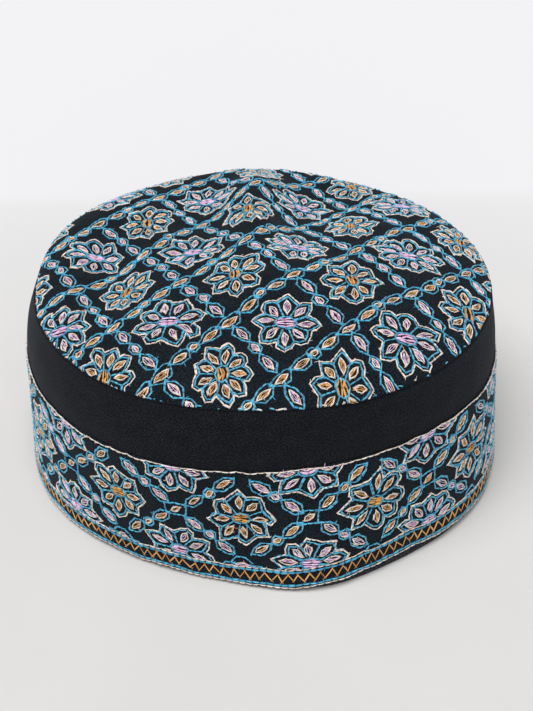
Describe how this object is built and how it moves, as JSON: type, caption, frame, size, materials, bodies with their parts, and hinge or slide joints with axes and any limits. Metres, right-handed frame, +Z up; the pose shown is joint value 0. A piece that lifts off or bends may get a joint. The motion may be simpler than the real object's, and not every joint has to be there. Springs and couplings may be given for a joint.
{
  "type": "kashmiri cap",
  "caption": "Soft round pillbox cap of black twill with an embroidered domed crown, a plain wall and a deep embroidered cuff, open below for the head.",
  "frame": {"origin": "middle of the cap's plan, on the surface that its rim rests on", "axes": "+Z up through the crown, front of the cap towards -Y, +X to the wearer's left"},
  "size_m": [0.1944, 0.1935, 0.0981],
  "materials": {
    "embroidered_twill": "near-black cotton twill under dense coloured chain embroidery",
    "plain_twill": "near-black cotton twill, matt, with a fine diagonal rib",
    "blue_thread": "bright blue embroidery thread with a soft sheen",
    "cream_thread": "cream embroidery thread with a soft sheen",
    "orange_thread": "orange embroidery thread with a soft sheen",
    "pink_thread": "pink embroidery thread with a soft sheen"
  },
  "bodies": {
    "root": {"crown_top": "embroidered_twill", "side_wall": "plain_twill", "cuff": "embroidered_twill"}
  },
  "joints": []
}
